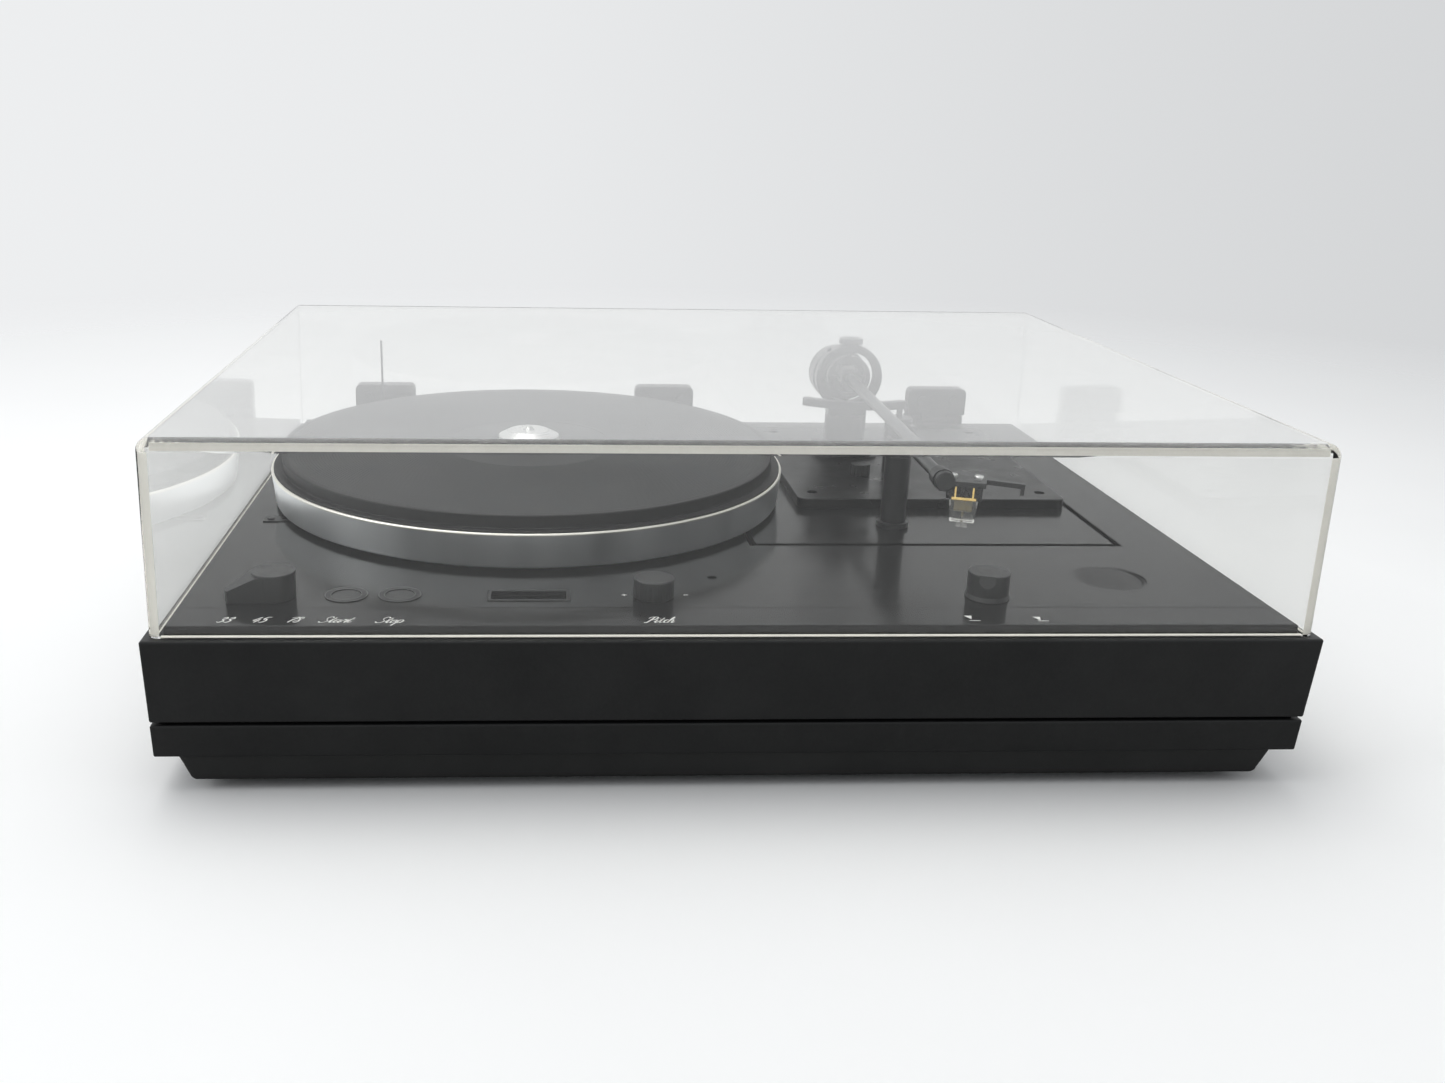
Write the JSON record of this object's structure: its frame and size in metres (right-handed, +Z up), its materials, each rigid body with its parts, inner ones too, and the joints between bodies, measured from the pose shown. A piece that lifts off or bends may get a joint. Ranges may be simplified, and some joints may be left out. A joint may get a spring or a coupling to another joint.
{
  "type": "record player",
  "caption": "Belt-driven record player: dark wooden plinth, sprung floating chassis, gimbal tone arm and a hinged clear dust cover.",
  "frame": {"origin": "middle of the whole object's footprint, on the surface it stands on, hinge knuckles included", "axes": "+Z up, +X to the right seen from the front where the controls are, +Y to the hinges at the back"},
  "size_m": [0.571, 0.4439, 0.179],
  "materials": {
    "wood_dark": "satin lacquered dark veneer",
    "shadow_black": "matt",
    "tray_black": "moulded, fine grain",
    "foot_rubber": "matt",
    "deck_grey": "black anodised, semi-gloss",
    "strip_grey": "black anodised, semi-gloss",
    "bezel_black": "satin",
    "clear_window": "clear",
    "bright_steel": "polished",
    "screw_black": "blackened",
    "spring_steel": "drawn wire",
    "motor_steel": "plated",
    "belt_rubber": "ground",
    "pulley_brass": "turned",
    "platter_metal": "turned, satin",
    "mat_rubber": "ribbed",
    "inner_metal": "turned",
    "chassis_metal": "plain",
    "bearing_steel": "turned",
    "adapter_metal": "turned",
    "armboard_grey": "black anodised, semi-gloss",
    "arm_black": "satin black",
    "ring_black": "semi-gloss black",
    "arm_metal": "satin anodised",
    "shell_dark": "satin",
    "weight_dark": "satin",
    "cartridge_dark": "moulded",
    "gold_plate": "plated",
    "stylus_dark": "moulded",
    "guard_clear": "clear",
    "rest_black": "satin",
    "knob_dark": "satin",
    "button_dark": "satin",
    "fixture_black": "matt",
    "board_green": "laminate",
    "transformer_iron": "varnished",
    "socket_black": "moulded",
    "contact_plate": "plated",
    "hinge_steel": "satin",
    "cover_acrylic": "clear polished"
  },
  "bodies": {
    "plinth": {"plinth_upper": "wood_dark", "plinth_joint_strip": "shadow_black", "plinth_lower": "wood_dark", "base_tray": "tray_black", "feet": "foot_rubber", "deck_plate": "deck_grey", "front_strip": "strip_grey", "control_bezels": "bezel_black", "strobe_window": "clear_window", "accessory_pin": "bright_steel", "earthing_tab": "screw_black", "rubber_mounts": "foot_rubber", "motor": "motor_steel", "drive_belt": "belt_rubber", "suspension_posts": "motor_steel", "suspension_springs": "spring_steel", "control_mechanisms": "fixture_black", "control_board": "board_green", "transformer": "transformer_iron", "connector_plate": "socket_black", "rear_contacts": "contact_plate", "hinge_brackets": "hinge_steel", "chassis_fasteners": "bright_steel"},
    "floating_chassis": {"subchassis": "chassis_metal", "bearing_housing": "bearing_steel", "armboard": "armboard_grey", "arm_board_top": "arm_black", "arm_column": "arm_black", "arm_fasteners": "screw_black", "bearing_ring": "ring_black", "arm_rest": "rest_black", "lift_cylinder": "ring_black"},
    "platter_group": {"platter": "platter_metal", "platter_mat": "mat_rubber", "inner_platter": "inner_metal", "spindle": "bearing_steel"},
    "adapter": {"single_adapter": "adapter_metal"},
    "pulley": {"motor_pulley": "pulley_brass"},
    "arm_yoke": {"gimbal_ring": "ring_black"},
    "arm": {"arm_tube": "arm_metal", "arm_block": "ring_black", "headshell": "shell_dark", "headshell_screws": "bright_steel", "finger_lift": "ring_black", "cartridge_body": "cartridge_dark", "cartridge_plate": "gold_plate", "stylus_assembly": "stylus_dark"},
    "balance_weight": {"counterweight": "weight_dark"},
    "guard": {"stylus_guard": "guard_clear"},
    "cue": {"cue_knob": "knob_dark"},
    "lift": {"lift_bar": "ring_black"},
    "side_force_dial": {"antiskate_knob": "knob_dark"},
    "speed_lever": {"speed_knob": "knob_dark"},
    "pitch_dial": {"pitch_knob": "knob_dark"},
    "start": {"start_button": "button_dark"},
    "stop": {"stop_button": "button_dark"},
    "lid": {"dust_cover": "cover_acrylic", "hinge_leaves": "hinge_steel", "cover_screws": "screw_black"}
  },
  "joints": [
    {"name": "chassis_float", "type": "slide", "parent": "plinth", "child": "floating_chassis", "axis": [0, 0, 1], "range_m": [-0.0015, 0.0015], "stiffness_N_per_m": 30000, "deforming": ["suspension_springs"]},
    {"name": "platter_spin", "type": "hinge", "parent": "floating_chassis", "child": "platter_group", "pos_m": [-0.1042, 0.0205, 0.1], "axis": [0, 0, 1], "continuous": true},
    {"name": "adapter_lift", "type": "slide", "parent": "platter_group", "child": "adapter", "axis": [0, 0, 1], "range_m": [0, 0.03]},
    {"name": "pulley_spin", "type": "hinge", "parent": "plinth", "child": "pulley", "pos_m": [-0.1822, 0.0985, 0.1], "axis": [0, 0, 1], "continuous": true},
    {"name": "arm_yaw", "type": "hinge", "parent": "floating_chassis", "child": "arm_yoke", "pos_m": [0.1193, 0.107, 0.1428], "axis": [0, 0, -1], "range_deg": [0, 58]},
    {"name": "arm_pitch", "type": "hinge", "parent": "arm_yoke", "child": "arm", "pos_m": [0.1193, 0.107, 0.1428], "axis": [-0.9996, 0.0279, 0], "range_deg": [-0.85, 5]},
    {"name": "weight_slide", "type": "slide", "parent": "arm", "child": "balance_weight", "axis": [0.0279, 0.9996, 0], "range_m": [-0.004, 0.004]},
    {"name": "guard_pull", "type": "slide", "parent": "arm", "child": "guard", "axis": [-0.319, -0.9478, 0], "range_m": [0, 0.014]},
    {"name": "cue_turn", "type": "hinge", "parent": "plinth", "child": "cue", "pos_m": [0.1321, -0.1736, 0.095], "axis": [0, 0, 1], "range_deg": [0, 75]},
    {"name": "bar_lower", "type": "slide", "parent": "floating_chassis", "child": "lift", "axis": [0, 0, -1], "range_m": [0, 0.003]},
    {"name": "side_force_turn", "type": "hinge", "parent": "floating_chassis", "child": "side_force_dial", "pos_m": [0.1155, 0.04, 0.098], "axis": [0, 0, 1], "range_deg": [0, 270]},
    {"name": "speed_turn", "type": "hinge", "parent": "plinth", "child": "speed_lever", "pos_m": [-0.2305, -0.173, 0.095], "axis": [0, 0, 1], "range_deg": [0, 132]},
    {"name": "pitch_turn", "type": "hinge", "parent": "plinth", "child": "pitch_dial", "pos_m": [-0.04, -0.173, 0.093], "axis": [0, 0, 1], "range_deg": [-140, 140]},
    {"name": "start_press", "type": "slide", "parent": "plinth", "child": "start", "axis": [0, 0, -1], "range_m": [0, 0.001], "stiffness_N_per_m": 400, "springref_m": -0.0005},
    {"name": "stop_press", "type": "slide", "parent": "plinth", "child": "stop", "axis": [0, 0, -1], "range_m": [0, 0.001], "stiffness_N_per_m": 400, "springref_m": -0.0005},
    {"name": "cover_open", "type": "hinge", "parent": "plinth", "child": "lid", "pos_m": [0, 0.217, 0.088], "axis": [-1, 0, 0], "range_deg": [0, 60]}
  ],
  "couplings": [
    {"joint": "pulley_spin", "follows": "platter_spin", "ratio": 12.339},
    {"joint": "cue_turn", "follows": "bar_lower", "rad_per_m": 436.3}
  ]
}
